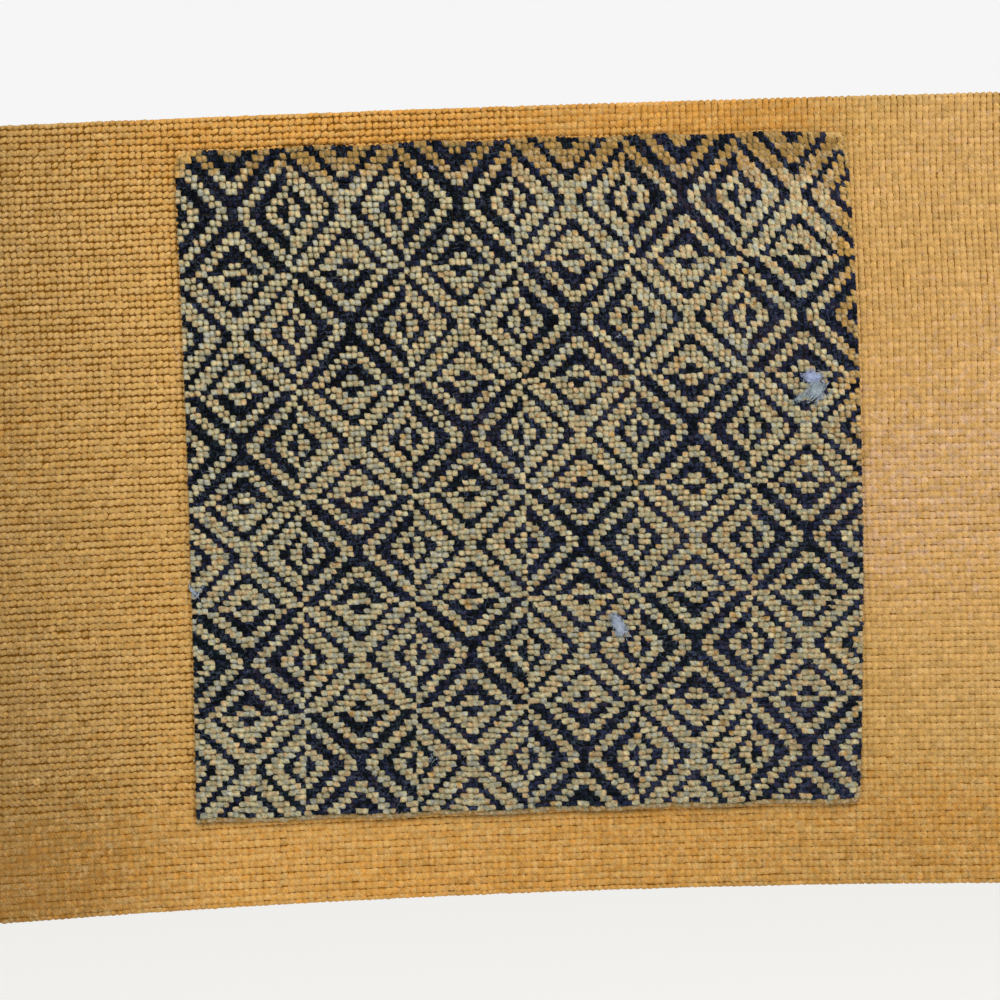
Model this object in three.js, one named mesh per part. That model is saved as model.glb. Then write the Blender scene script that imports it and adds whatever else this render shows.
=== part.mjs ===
// A wall hanging in two layers, upright in the XZ plane with its face towards -Y.
// A square stitched in dark and straw diamonds lies on a stitched ochre ground whose edges are turned back as a hem.
// The origin is the middle of the top edge, in the plane of the hem's back.

import * as THREE from "three";

// Sizes in millimetres
const GROUND_WIDTH = 470;
const GROUND_HEIGHT = 358;
const GROUND_THICKNESS = 2.4;
const GROUND_EDGE_ROUND = 2;
const HEM_WIDTH = 16;
const HEM_THICKNESS = 1;
const HEM_STEP = 0.4;

// The ground's rows arch over their highest point, more at the foot than at the head.
const ARCH_CREST_X = 40;
const ARCH_DROP_AT_HEAD = 1.5;
const ARCH_DROP_AT_FOOT = 6.5;
const SIDE_WANDER = 0.8;
const SIDE_WANDER_LENGTH = 140;

const SQUARE_WIDTH = 304;
const SQUARE_HEIGHT = 305.5;
const SQUARE_CENTRE = { x: 9, z: -169 };
const SQUARE_THICKNESS = 2.6;
const SQUARE_CROWN = 0.5;
const SQUARE_EDGE_ROUND = 2.2;
const SQUARE_TAPER = 4;
const EDGE_WANDER = 0.5;
const EDGE_WANDER_LENGTH = 51;
const LAYER_GAP = 0.3;

// Both sides of the square bow to the right at mid-height, and the middle of its head rises.
const LEFT_SIDE_BOW = 1.4;
const RIGHT_SIDE_BOW = 4;
const HEAD_RISE = 1.1;

// Each corner of the square is rounded by its own radius.
const CORNER_RADIUS = {
  topLeft: 8,
  topRight: 5.5,
  bottomRight: 5,
  bottomLeft: 2,
};

const GRID_STEP = 24;

const GROUND_BACK = -HEM_THICKNESS;
const GROUND_FRONT = GROUND_BACK - GROUND_THICKNESS;
const SQUARE_BACK = GROUND_FRONT - LAYER_GAP;
const SQUARE_RIM = 0.4;

// Stations from low to high: set distances in from each end, then even steps between them.
function stations(low, high, fromEdge) {
  const inner = fromEdge[fromEdge.length - 1];
  const span = high - low - 2 * inner;
  const count = Math.round(span / GRID_STEP);
  const between = [];
  for (let i = 1; i < count; i += 1) {
    between.push(low + inner + (span * i) / count);
  }
  const head = fromEdge.map((d) => low + d);
  const tail = fromEdge.map((d) => high - d).reverse();
  return [...head, ...between, ...tail];
}

// A closed sheet on a grid of stations. The box gives the faces, and place gives each point its position.
function sheetGeometry(xStations, zStations, place) {
  const columns = xStations.length - 1;
  const rows = zStations.length - 1;
  const geometry = new THREE.BoxGeometry(columns, 1, rows, columns, 1, rows);
  const points = geometry.getAttribute("position");
  for (let i = 0; i < points.count; i += 1) {
    const x = xStations[Math.round(points.getX(i) + columns / 2)];
    const z = zStations[Math.round(points.getZ(i) + rows / 2)];
    const isFront = points.getY(i) < 0;
    const at = place(x, z, isFront);
    points.setXYZ(i, at.x, at.y, at.z);
  }
  geometry.computeVertexNormals();
  return geometry;
}

// How far a rounded edge falls back at a distance in from the outline.
function edgeFall(distance, radius) {
  const reach = Math.max(0, 1 - distance / radius);
  return radius * (1 - Math.sqrt(1 - reach * reach));
}

// How far a row of the ground drops below its crest, by its place across and by its depth from 0 to 1.
function archDrop(x, depth) {
  const farthest = GROUND_WIDTH / 2 + ARCH_CREST_X;
  const across = (x - ARCH_CREST_X) / farthest;
  const drop = ARCH_DROP_AT_HEAD + (ARCH_DROP_AT_FOOT - ARCH_DROP_AT_HEAD) * depth * depth;
  return drop * across * across;
}

function placeGround(x, z, isFront) {
  const halfWidth = GROUND_WIDTH / 2;
  const fromSide = halfWidth - Math.abs(x);
  const fromEnd = Math.min(-z, GROUND_HEIGHT + z);
  const fromEdge = Math.min(fromSide, fromEnd);
  const wander = SIDE_WANDER * Math.sin((2 * Math.PI * z) / SIDE_WANDER_LENGTH) * (x / halfWidth) ** 2;
  const back = fromEdge <= HEM_WIDTH ? 0 : GROUND_BACK;
  const front = GROUND_FRONT + edgeFall(fromEdge, GROUND_EDGE_ROUND);
  return {
    x: x + wander,
    y: isFront ? front : back,
    z: z - archDrop(x, -z / GROUND_HEIGHT),
  };
}

function cornerRadius(x, z) {
  if (z > 0) {
    return x < 0 ? CORNER_RADIUS.topLeft : CORNER_RADIUS.topRight;
  }
  return x < 0 ? CORNER_RADIUS.bottomLeft : CORNER_RADIUS.bottomRight;
}

// A point of the square's grid drawn in to the rounded outline, with its distance in from that outline.
function roundedPoint(x, z) {
  const halfWidth = SQUARE_WIDTH / 2;
  const halfHeight = SQUARE_HEIGHT / 2;
  const radius = cornerRadius(x, z);
  const across = Math.abs(x) - (halfWidth - radius);
  const up = Math.abs(z) - (halfHeight - radius);
  if (across <= 0 || up <= 0) {
    return { x, z, inside: Math.min(halfWidth - Math.abs(x), halfHeight - Math.abs(z)) };
  }
  const roundAcross = across * Math.sqrt(1 - (up * up) / (2 * radius * radius));
  const roundUp = up * Math.sqrt(1 - (across * across) / (2 * radius * radius));
  return {
    x: Math.sign(x) * (halfWidth - radius + roundAcross),
    z: Math.sign(z) * (halfHeight - radius + roundUp),
    inside: Math.max(0, radius - Math.hypot(roundAcross, roundUp)),
  };
}

function placeSquare(x, z, isFront) {
  const halfWidth = SQUARE_WIDTH / 2;
  const halfHeight = SQUARE_HEIGHT / 2;
  const rounded = roundedPoint(x, z);
  const acrossShare = rounded.x / halfWidth;
  const upShare = rounded.z / halfHeight;
  const taper = (SQUARE_TAPER / 2) * upShare * ((1 + acrossShare) / 2);
  const wander = EDGE_WANDER * Math.sin((2 * Math.PI * rounded.x) / EDGE_WANDER_LENGTH) * upShare ** 2;
  const middleBow = (LEFT_SIDE_BOW + RIGHT_SIDE_BOW) / 2;
  const bowSpread = (RIGHT_SIDE_BOW - LEFT_SIDE_BOW) / 2;
  const bow = (middleBow + bowSpread * acrossShare) * (1 - upShare ** 2);
  const rise = HEAD_RISE * (1 - acrossShare ** 2) * Math.max(0, upShare) ** 2;
  const crown = SQUARE_CROWN * (1 - acrossShare ** 2) * (1 - upShare ** 2);
  const fall = edgeFall(rounded.inside, SQUARE_EDGE_ROUND);
  const thickness = Math.max(SQUARE_RIM, SQUARE_THICKNESS - fall) + crown;
  return {
    x: SQUARE_CENTRE.x + rounded.x + taper + bow,
    y: isFront ? SQUARE_BACK - thickness : SQUARE_BACK,
    z: SQUARE_CENTRE.z + rounded.z + wander + rise,
  };
}

function groundCloth() {
  const fromEdge = [0, GROUND_EDGE_ROUND / 3, GROUND_EDGE_ROUND, HEM_WIDTH, HEM_WIDTH + HEM_STEP];
  const xStations = stations(-GROUND_WIDTH / 2, GROUND_WIDTH / 2, fromEdge);
  const zStations = stations(-GROUND_HEIGHT, 0, fromEdge);
  const ochreYarn = new THREE.MeshStandardMaterial({ color: 0xc99a4e, roughness: 0.92, metalness: 0 });
  const mesh = new THREE.Mesh(sheetGeometry(xStations, zStations, placeGround), ochreYarn);
  mesh.name = "ground_cloth";
  return mesh;
}

function diamondSquare() {
  const round = SQUARE_EDGE_ROUND;
  const fromEdge = [0, round / 4, round, 2 * round, CORNER_RADIUS.topLeft];
  const xStations = stations(-SQUARE_WIDTH / 2, SQUARE_WIDTH / 2, fromEdge);
  const zStations = stations(-SQUARE_HEIGHT / 2, SQUARE_HEIGHT / 2, fromEdge);
  const mixedYarn = new THREE.MeshStandardMaterial({ color: 0x857a5c, roughness: 0.9, metalness: 0 });
  const mesh = new THREE.Mesh(sheetGeometry(xStations, zStations, placeSquare), mixedYarn);
  mesh.name = "diamond_square";
  return mesh;
}

const hanging = new THREE.Group();
hanging.add(groundCloth(), diamondSquare());

export default hanging;
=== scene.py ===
# %% [markdown]
# A stitched diamond hanging.
# The real object is two flat cloths. An ochre ground is covered with small slanted yarn stitches,
# and a square worked in blue-black and straw yarn lies on it. The construction model already has
# both cloths as plain sheets. This lesson loads them as a fixed frame, and then makes the cloths
# again with every stitch as a small raised form.

# %% Load the frame
import math

import bmesh
import bpy
import numpy as np
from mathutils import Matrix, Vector


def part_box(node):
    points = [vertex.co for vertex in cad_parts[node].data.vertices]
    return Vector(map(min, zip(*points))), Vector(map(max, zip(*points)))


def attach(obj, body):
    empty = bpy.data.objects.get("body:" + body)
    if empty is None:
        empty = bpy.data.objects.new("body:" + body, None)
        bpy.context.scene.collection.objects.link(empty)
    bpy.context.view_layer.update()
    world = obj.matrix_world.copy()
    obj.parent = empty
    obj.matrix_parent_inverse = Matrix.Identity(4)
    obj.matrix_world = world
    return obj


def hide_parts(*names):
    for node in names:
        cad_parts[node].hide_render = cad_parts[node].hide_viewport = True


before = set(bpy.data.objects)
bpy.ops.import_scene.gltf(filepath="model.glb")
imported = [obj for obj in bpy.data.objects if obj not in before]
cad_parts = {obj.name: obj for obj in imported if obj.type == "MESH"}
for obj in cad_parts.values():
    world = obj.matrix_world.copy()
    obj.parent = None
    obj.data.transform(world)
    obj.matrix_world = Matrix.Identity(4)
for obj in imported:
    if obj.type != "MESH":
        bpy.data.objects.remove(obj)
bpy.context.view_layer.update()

MM = 0.001
ground_low, ground_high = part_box("ground_cloth")
square_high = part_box("diamond_square")[1]

# %% [markdown]
# A cloth is easiest to think of flat, as a maker cuts it. So each one is described by flat
# coordinates, across and up from its middle, in millimetres. At its edges the flat cloth rolls
# over a small radius towards the back. A modifier could bend the finished cloth, but a formula is
# quick for many thousands of points. The function below takes a flat coordinate to its place on
# the face, to its depth behind the face and to its tilt.

# %% Rolling a flat coordinate over an edge
def roll_over(flat, inner, radius):
    beyond = np.maximum(np.abs(flat) - inner, 0.0)
    angle = np.minimum(beyond / radius, math.pi)
    side = np.sign(flat)
    along = side * (np.minimum(np.abs(flat), inner) + radius * np.sin(angle))
    depth = radius * (1.0 - np.cos(angle))
    return along, depth, side * angle


edge_test = roll_over(np.array([0.0, 10.0, 11.0]), 10.0, 1.0)
edge_depth = round(float(edge_test[1][2]), 2)
print("a flat coordinate 1 mm past an edge of 1 mm radius lies", edge_depth, "mm deep")

# %% [markdown]
# Neither cloth is true. The ground's rows arch a little and its sides wander. The square leans,
# its sides bow to the right, its corners are rounded by different amounts and its edges wave.
# These small errors are what make it look handmade, so each cloth has a function that moves its
# points after they are laid flat. A lattice could bend the cloths too, but formulas with the
# frame's own sizes keep to its outline.

# %% Measures of the ground, and how it is out of true
GROUND_WIDTH, GROUND_HEIGHT = 470.0, 358.0
ARCH_CREST_X = 40.0
ARCH_DROP_AT_HEAD, ARCH_DROP_AT_FOOT = 1.5, 6.5
SIDE_WANDER, SIDE_WANDER_LENGTH = 0.8, 140.0
GROUND_MIDDLE_Z = -GROUND_HEIGHT / 2


def warp_ground(x, z):
    z = z + GROUND_MIDDLE_Z
    depth = -z / GROUND_HEIGHT
    across = (x - ARCH_CREST_X) / (GROUND_WIDTH / 2 + ARCH_CREST_X)
    drop = ARCH_DROP_AT_HEAD + (ARCH_DROP_AT_FOOT - ARCH_DROP_AT_HEAD) * depth**2
    wander = SIDE_WANDER * np.sin(2 * math.pi * z / SIDE_WANDER_LENGTH) * (2 * x / GROUND_WIDTH) ** 2
    return x + wander, z - drop * across**2


lowest_corner = warp_ground(-GROUND_WIDTH / 2, GROUND_MIDDLE_Z)
print("lowest corner of the ground:", [round(float(v), 1) for v in lowest_corner])

# %% Measures of the square, and how it is out of true
SQUARE_WIDTH, SQUARE_HEIGHT = 304.0, 305.5
SQUARE_CENTRE_X, SQUARE_CENTRE_Z = 9.0, -169.0
SQUARE_TAPER = 4.0
EDGE_WANDER, EDGE_WANDER_LENGTH = 0.5, 51.0
LEFT_SIDE_BOW, RIGHT_SIDE_BOW = 1.4, 4.0
HEAD_RISE = 1.1
CORNER_TOP_LEFT, CORNER_TOP_RIGHT = 8.0, 5.5
CORNER_BOTTOM_LEFT, CORNER_BOTTOM_RIGHT = 2.0, 5.0


def round_corners(x, z):
    top = np.where(x < 0, CORNER_TOP_LEFT, CORNER_TOP_RIGHT)
    bottom = np.where(x < 0, CORNER_BOTTOM_LEFT, CORNER_BOTTOM_RIGHT)
    radius = np.where(z > 0, top, bottom)
    start_x, start_z = SQUARE_WIDTH / 2 - radius, SQUARE_HEIGHT / 2 - radius
    over_x = np.clip(np.abs(x) - start_x, 0, radius)
    over_z = np.clip(np.abs(z) - start_z, 0, radius)
    round_x = over_x * np.sqrt(1 - over_z**2 / (2 * radius**2))
    round_z = over_z * np.sqrt(1 - over_x**2 / (2 * radius**2))
    return x + np.sign(x) * (round_x - over_x), z + np.sign(z) * (round_z - over_z)


def warp_square(x, z):
    x, z = round_corners(x, z)
    across, up = 2 * x / SQUARE_WIDTH, 2 * z / SQUARE_HEIGHT
    taper = SQUARE_TAPER / 2 * up * (1 + across) / 2
    middle_bow = (RIGHT_SIDE_BOW + LEFT_SIDE_BOW) / 2
    bow_spread = (RIGHT_SIDE_BOW - LEFT_SIDE_BOW) / 2
    bow = (middle_bow + bow_spread * across) * (1 - up**2)
    wander = EDGE_WANDER * np.sin(2 * math.pi * x / EDGE_WANDER_LENGTH) * up**2
    rise = HEAD_RISE * (1 - across**2) * np.maximum(up, 0) ** 2
    return x + taper + bow + SQUARE_CENTRE_X, z + wander + rise + SQUARE_CENTRE_Z


top_left = warp_square(-SQUARE_WIDTH / 2, SQUARE_HEIGHT / 2)
print("top left corner of the square:", [round(float(v), 1) for v in top_left])

# %% [markdown]
# Stitches stand on canvas. The canvas face lies about one stitch height behind the front of the
# frame's sheet, so the yarn just fills the sheet's thickness. A cloth is kept as a small record
# of these measures, and one function lays any flat point of it in space, at a height above the
# canvas.

# %% Laying a flat point in space
STITCH_HEIGHT = 1.3
SQUARE_CROWN = 0.5
SQUARE_ROLL_RADIUS = 1.4
FRONT, BACK = -1.0, 1.0


def cloth(width, height, face, radius, crown, warp, facing=FRONT):
    return {
        "inner_x": width / 2 - STITCH_HEIGHT - radius,
        "inner_z": height / 2 - STITCH_HEIGHT - radius,
        "face": face,
        "radius": radius,
        "crown": crown,
        "warp": warp,
        "facing": facing,
    }


def lay(piece, across, up, height):
    x, depth_x, tilt_x = roll_over(across, piece["inner_x"], piece["radius"])
    z, depth_z, tilt_z = roll_over(up, piece["inner_z"], piece["radius"])
    facing = piece["facing"] * np.cos(tilt_x) * np.cos(tilt_z)
    out = np.stack([np.sin(tilt_x), facing, np.sin(tilt_z)], axis=-1)
    out = out / np.linalg.norm(out, axis=-1, keepdims=True)
    crown = piece["crown"] * (1 - (x / piece["inner_x"]) ** 2) * (1 - (z / piece["inner_z"]) ** 2)
    y = piece["face"] + np.maximum(depth_x, depth_z) - np.maximum(crown, 0)
    points = np.stack([x, y, z], axis=-1) + out * np.asarray(height)[..., None]
    warped_x, warped_z = piece["warp"](points[..., 0], points[..., 2])
    return np.stack([warped_x, points[..., 1], warped_z], axis=-1)


ground_face = ground_low.y / MM + STITCH_HEIGHT
ground_radius = (ground_high.y / MM - ground_face) / 2
square_face = square_high.y / MM - SQUARE_ROLL_RADIUS
ground = cloth(GROUND_WIDTH, GROUND_HEIGHT, ground_face, ground_radius, 0.0, warp_ground)
square = cloth(
    SQUARE_WIDTH, SQUARE_HEIGHT, square_face, SQUARE_ROLL_RADIUS, SQUARE_CROWN, warp_square
)
print("canvas faces at y", round(ground_face, 2), "and", round(square_face, 2), "mm")

# %% [markdown]
# Colours are picked as the hex values a screen shows. The shader wants linear light, so one
# function turns them over. One more small function adds a node to a material, with its settings,
# its values and its links.

# %% Helpers for materials
def linear(hex_colour):
    channels = [int(hex_colour[i : i + 2], 16) / 255 for i in (1, 3, 5)]
    light = [c / 12.92 if c <= 0.04045 else ((c + 0.055) / 1.055) ** 2.4 for c in channels]
    return (*light, 1.0)


def blank_material(name):
    material = bpy.data.materials.new(name)
    material.use_nodes = True
    material.node_tree.nodes.clear()
    return material, material.node_tree


def add_node(tree, kind, inputs=None, **settings):
    made = tree.nodes.new(kind)
    for name, value in settings.items():
        setattr(made, name, value)
    for name, value in (inputs or {}).items():
        if isinstance(value, bpy.types.NodeSocket):
            tree.links.new(value, made.inputs[name])
        else:
            made.inputs[name].default_value = value
    return made


def colour_stops(ramp, tones):
    stops = ramp.color_ramp.elements
    for _ in tones[2:]:
        stops.new(1.0)
    for place, tone in enumerate(tones):
        stops[place].position = place / (len(tones) - 1)
        stops[place].color = linear(tone)


print("mid grey in linear light:", round(linear("#808080")[0], 3))

# %% [markdown]
# Wool yarn is matt, with a soft sheen from its loose fibres. A picture of wool could be wrapped
# on, but it would repeat, so noises and a few numbers on each stitch give the look instead. Each
# stitch took its colour from a slightly different place in the skein, so it carries two numbers:
# its hue, which runs along a row of colours, and its tone, from dim to bright. Two noises make
# the dye uneven as well: one about as wide as a stitch, and one finer. A third number, the rim,
# grows from the crown of a stitch to its foot. There the colour is mixed towards a darker foot
# shade tone: a painted shade for the hollows between stitches, and a little dust. The fibres
# twist round the yarn. Their real spacing is about 0.15 mm, which is finer than a pixel here, so
# the twist is drawn about six times as coarse. It lightens and darkens the yarn a little, as well
# as lifting its surface.
# Stray hairs lie over the yarn. A hair is where a noise passes through its middle value, which
# gives thin curved lines, and a slower noise breaks the lines up.

# %% Wool yarn
WAVE_LENGTH = 2 * math.pi / 20
FIBRE_TWIST_MM = 0.9
YARN_SPECKLE_MM = 1.6
TWIST_DEPTH = 0.1
YARN_STAIN_MM = 3.0
HAIR_LOOP_MM = 2.6
HAIR_PATCH_MM = 5.0
HAIR_HALF_WIDTH = 0.06
HAIR_BREAKS = (0.42, 0.56)
DIM_YARN, BRIGHT_YARN = "#A8A8A8", "#FFFFFF"
RIM_ENDS = 0.95


def at_size(place, size_mm, detail):
    return {"Vector": place.outputs["Object"], "Scale": 1 / (size_mm * MM), "Detail": detail}


def shifted(tree, number, noise, amount):
    shift = add_node(
        tree,
        "ShaderNodeMath",
        {0: noise.outputs["Fac"], 1: 2 * amount, 2: -amount},
        operation="MULTIPLY_ADD",
    )
    return add_node(
        tree,
        "ShaderNodeMath",
        {0: number, 1: shift.outputs[0]},
        operation="ADD",
        use_clamp=True,
    )


def hair_lines(tree, place, amount):
    loops = add_node(tree, "ShaderNodeTexNoise", at_size(place, HAIR_LOOP_MM, detail=1.0))
    patches = add_node(tree, "ShaderNodeTexNoise", at_size(place, HAIR_PATCH_MM, detail=1.0))
    off_middle = add_node(
        tree, "ShaderNodeMath", {0: loops.outputs["Fac"], 1: 0.5}, operation="SUBTRACT"
    )
    distance = add_node(tree, "ShaderNodeMath", {0: off_middle.outputs[0]}, operation="ABSOLUTE")
    line = add_node(
        tree,
        "ShaderNodeMapRange",
        {
            "Value": distance.outputs[0],
            "From Min": 0.0,
            "From Max": HAIR_HALF_WIDTH,
            "To Min": amount,
            "To Max": 0.0,
        },
    )
    broken = add_node(
        tree,
        "ShaderNodeMapRange",
        {"Value": patches.outputs["Fac"], "From Min": HAIR_BREAKS[0], "From Max": HAIR_BREAKS[1]},
    )
    return add_node(
        tree,
        "ShaderNodeMath",
        {0: line.outputs[0], 1: broken.outputs[0]},
        operation="MULTIPLY",
        use_clamp=True,
    )


def wool_yarn(
    name, hues, foot_shade_tone, rim_starts, hair_tone, hairiness, unevenness, speckling, gloss, sheen
):
    material, tree = blank_material(name)
    hue, tone, rim = (
        add_node(tree, "ShaderNodeAttribute", attribute_name=key) for key in ("hue", "tone", "rim")
    )
    place = add_node(tree, "ShaderNodeTexCoord")
    stain = add_node(tree, "ShaderNodeTexNoise", at_size(place, YARN_STAIN_MM, detail=1.0))
    speckle = add_node(tree, "ShaderNodeTexNoise", at_size(place, YARN_SPECKLE_MM, detail=3.0))
    fibre_map = add_node(tree, "ShaderNodeUVMap", uv_map="fibre")
    twist = add_node(
        tree,
        "ShaderNodeTexWave",
        {
            "Vector": fibre_map.outputs["UV"],
            "Scale": WAVE_LENGTH / FIBRE_TWIST_MM,
            "Distortion": 5.0,
            "Detail": 1.0,
        },
        wave_type="BANDS",
        bands_direction="DIAGONAL",
    )
    uneven_hue = shifted(tree, hue.outputs["Fac"], stain, unevenness)
    dyed = add_node(tree, "ShaderNodeValToRGB", {"Fac": uneven_hue.outputs[0]})
    colour_stops(dyed, hues)
    speckled = shifted(tree, tone.outputs["Fac"], speckle, speckling)
    twisted = shifted(tree, speckled.outputs[0], twist, TWIST_DEPTH)
    bright = add_node(tree, "ShaderNodeValToRGB", {"Fac": twisted.outputs[0]})
    colour_stops(bright, (DIM_YARN, BRIGHT_YARN))
    crown = add_node(
        tree,
        "ShaderNodeMix",
        {0: 1.0, 6: dyed.outputs["Color"], 7: bright.outputs["Color"]},
        data_type="RGBA",
        blend_type="MULTIPLY",
    )
    # Towards its foot the yarn is mixed with the foot shade tone: a painted shade for the hollows between
    # stitches, and a little dust.
    foot = add_node(
        tree,
        "ShaderNodeMapRange",
        {"Value": rim.outputs["Fac"], "From Min": rim_starts, "From Max": RIM_ENDS},
        interpolation_type="SMOOTHSTEP",
    )
    shaded = add_node(
        tree,
        "ShaderNodeMix",
        {0: foot.outputs[0], 6: crown.outputs[2], 7: linear(foot_shade_tone)},
        data_type="RGBA",
    )
    hairs = hair_lines(tree, place, hairiness)
    hairy = add_node(
        tree,
        "ShaderNodeMix",
        {0: hairs.outputs[0], 6: shaded.outputs[2], 7: linear(hair_tone)},
        data_type="RGBA",
    )
    bump = add_node(
        tree, "ShaderNodeBump", {"Height": twist.outputs["Fac"], "Strength": 0.6, "Distance": 0.2 * MM}
    )
    yarn = add_node(
        tree,
        "ShaderNodeBsdfPrincipled",
        {
            "Base Color": hairy.outputs[2],
            "Normal": bump.outputs["Normal"],
            "Roughness": 0.9,
            "IOR": 1.54,
            "Specular IOR Level": gloss,
            "Sheen Weight": sheen,
            "Sheen Roughness": 0.5,
            "Sheen Tint": linear(hair_tone),
        },
    )
    add_node(tree, "ShaderNodeOutputMaterial", {"Surface": yarn.outputs["BSDF"]})
    return material


OCHRE_HUES = ("#DE9F48", "#DCAE64", "#E0AF68", "#DEB694")
STRAW_HUES = ("#BEBEB0", "#CFC89C", "#DEC696", "#DCB88A", "#D4A65A")
DARK_HUES = ("#182229", "#0E0F13", "#242B45", "#302832")
LINT_HUES = ("#A6B4B0", "#B2BECC", "#BAC4E8")
ochre_yarn = wool_yarn(
    "ochre_wool_yarn", OCHRE_HUES, foot_shade_tone="#7A4E06", rim_starts=0.34, hair_tone="#F0D8A8",
    hairiness=0.18, unevenness=0.4, speckling=0.5, gloss=0.15, sheen=0.05,
)
straw_yarn = wool_yarn(
    "straw_wool_yarn", STRAW_HUES, foot_shade_tone="#5A5032", rim_starts=0.08, hair_tone="#F2E8C4",
    hairiness=0.22, unevenness=1.15, speckling=0.9, gloss=0.15, sheen=0.05,
)
dark_yarn = wool_yarn(
    "blue_black_wool_yarn", DARK_HUES, foot_shade_tone="#040508", rim_starts=0.1, hair_tone="#626C7E",
    hairiness=0.34, unevenness=1.1, speckling=1.5, gloss=0.04, sheen=0.0,
)
lint_fluff = wool_yarn(
    "pale_blue_wool_lint", LINT_HUES, foot_shade_tone="#98A2B4", rim_starts=0.6, hair_tone="#E8ECF6",
    hairiness=0.2, unevenness=0.4, speckling=0.35, gloss=0.1, sheen=0.2,
)
print("yarns:", ochre_yarn.name, straw_yarn.name, dark_yarn.name)

# %% [markdown]
# Cotton canvas is a plain weave of stiff threads, two threads to a stitch. It is covered on the
# face, where it only shows as dark gaps, and bare on the hem behind. Its threads could be woven
# from tubes, but so little of them shows that a pattern is enough. Two waves at right angles give
# the threads going over and under.

# %% Cotton canvas
CANVAS_THREAD_MM = 1.45


def cotton_canvas(name, thread_tone, gap_tone):
    material, tree = blank_material(name)
    place = add_node(tree, "ShaderNodeTexCoord")
    waves = [
        add_node(
            tree,
            "ShaderNodeTexWave",
            {
                "Vector": place.outputs["Object"],
                "Scale": WAVE_LENGTH / (CANVAS_THREAD_MM * MM),
                "Distortion": 0.4,
                "Detail Scale": 0.5,
            },
            wave_type="BANDS",
            bands_direction=direction,
        )
        for direction in ("X", "Z")
    ]
    weave = add_node(
        tree,
        "ShaderNodeMath",
        {0: waves[0].outputs["Fac"], 1: waves[1].outputs["Fac"]},
        operation="MULTIPLY",
    )
    ramp = add_node(tree, "ShaderNodeValToRGB", {"Fac": weave.outputs[0]})
    colour_stops(ramp, (gap_tone, thread_tone))
    bump = add_node(
        tree, "ShaderNodeBump", {"Height": weave.outputs[0], "Strength": 0.6, "Distance": 0.3 * MM}
    )
    canvas = add_node(
        tree,
        "ShaderNodeBsdfPrincipled",
        {
            "Base Color": ramp.outputs["Color"],
            "Normal": bump.outputs["Normal"],
            "Roughness": 0.92,
            "IOR": 1.53,
            "Specular IOR Level": 0.2,
        },
    )
    add_node(tree, "ShaderNodeOutputMaterial", {"Surface": canvas.outputs["BSDF"]})
    return material


ground_canvas_cotton = cotton_canvas("brown_cotton_canvas", "#A06C10", "#6A4404")
# The square's canvas is nearly black, a painted shade for the gaps between its stitches, where alone it
# shows.
square_canvas_cotton = cotton_canvas("gap_shade_cotton_canvas", "#2E2820", "#14120E")
print("canvases:", ground_canvas_cotton.name, square_canvas_cotton.name)

# %% [markdown]
# The canvas of each cloth starts as a grid over the flat part of its face. Its open edge is then
# extruded ring by ring: each ring is the outline, scaled out and set back along the roll. On the
# ground the last ring runs inwards behind the face, as a turned hem with mitred corners. Solidify
# gives the cloth its thickness. A cloth simulation could drape it, but this cloth hangs flat, so
# rings are enough.

# %% Making a canvas
CANVAS_THICKNESS = 0.8
CANVAS_GRID_MM = 12.0
ROLL_STEPS = 6


def linked(name, data):
    made = bpy.data.objects.new(name, data)
    bpy.context.scene.collection.objects.link(made)
    return made


def canvas_sheet(name, piece, roll_angle, hem, material):
    bm = bmesh.new()
    half_x, half_z = piece["inner_x"], piece["inner_z"]
    bmesh.ops.create_grid(
        bm,
        x_segments=round(2 * half_x / CANVAS_GRID_MM),
        y_segments=round(2 * half_z / CANVAS_GRID_MM),
        size=1.0,
    )
    for vert in bm.verts:
        vert.co = (vert.co.x * half_x, 0.0, vert.co.y * half_z)
    bmesh.ops.recalc_face_normals(bm, faces=bm.faces)
    rings = [roll_angle * (k + 1) / ROLL_STEPS for k in range(ROLL_STEPS)]
    reaches = [(piece["radius"] * math.sin(a), piece["radius"] * (1 - math.cos(a))) for a in rings]
    if hem:
        reaches.append((-hem, reaches[-1][1]))
    out, depth = 0.0, 0.0
    for next_out, next_depth in reaches:
        rim = [edge for edge in bm.edges if edge.is_boundary]
        new = bmesh.ops.extrude_edge_only(bm, edges=rim)["geom"]
        verts = [v for v in new if isinstance(v, bmesh.types.BMVert)]
        grow = ((half_x + next_out) / (half_x + out), 1.0, (half_z + next_out) / (half_z + out))
        bmesh.ops.scale(bm, vec=grow, verts=verts)
        bmesh.ops.translate(bm, vec=(0.0, next_depth - depth, 0.0), verts=verts)
        out, depth = next_out, next_depth
    bmesh.ops.recalc_face_normals(bm, faces=bm.faces)
    for vert in bm.verts:
        x, y, z = vert.co
        swell = piece["crown"] * max(0.0, (1 - (x / half_x) ** 2) * (1 - (z / half_z) ** 2))
        warped_x, warped_z = piece["warp"](x, z)
        vert.co = (float(warped_x) * MM, (piece["face"] + y - swell) * MM, float(warped_z) * MM)
    front = min(bm.faces, key=lambda face: face.calc_center_median().y)
    if front.normal.y > 0:
        bmesh.ops.reverse_faces(bm, faces=bm.faces)
    mesh = bpy.data.meshes.new(name)
    bm.to_mesh(mesh)
    bm.free()
    mesh.shade_smooth()
    mesh.materials.append(material)
    made = linked(name, mesh)
    thick = made.modifiers.new("cloth_thickness", "SOLIDIFY")
    thick.thickness = CANVAS_THICKNESS * MM
    thick.offset = -1.0
    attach(made, "root")
    return made


HEM_WIDTH = 16.0
SQUARE_ROLL = math.radians(95)
ground_canvas = canvas_sheet("ground_canvas", ground, math.pi, HEM_WIDTH, ground_canvas_cotton)
square_canvas = canvas_sheet("square_canvas", square, SQUARE_ROLL, 0.0, square_canvas_cotton)
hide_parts("ground_cloth")
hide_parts("diamond_square")
print("canvas faces:", len(ground_canvas.data.polygons), len(square_canvas.data.polygons))

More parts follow.
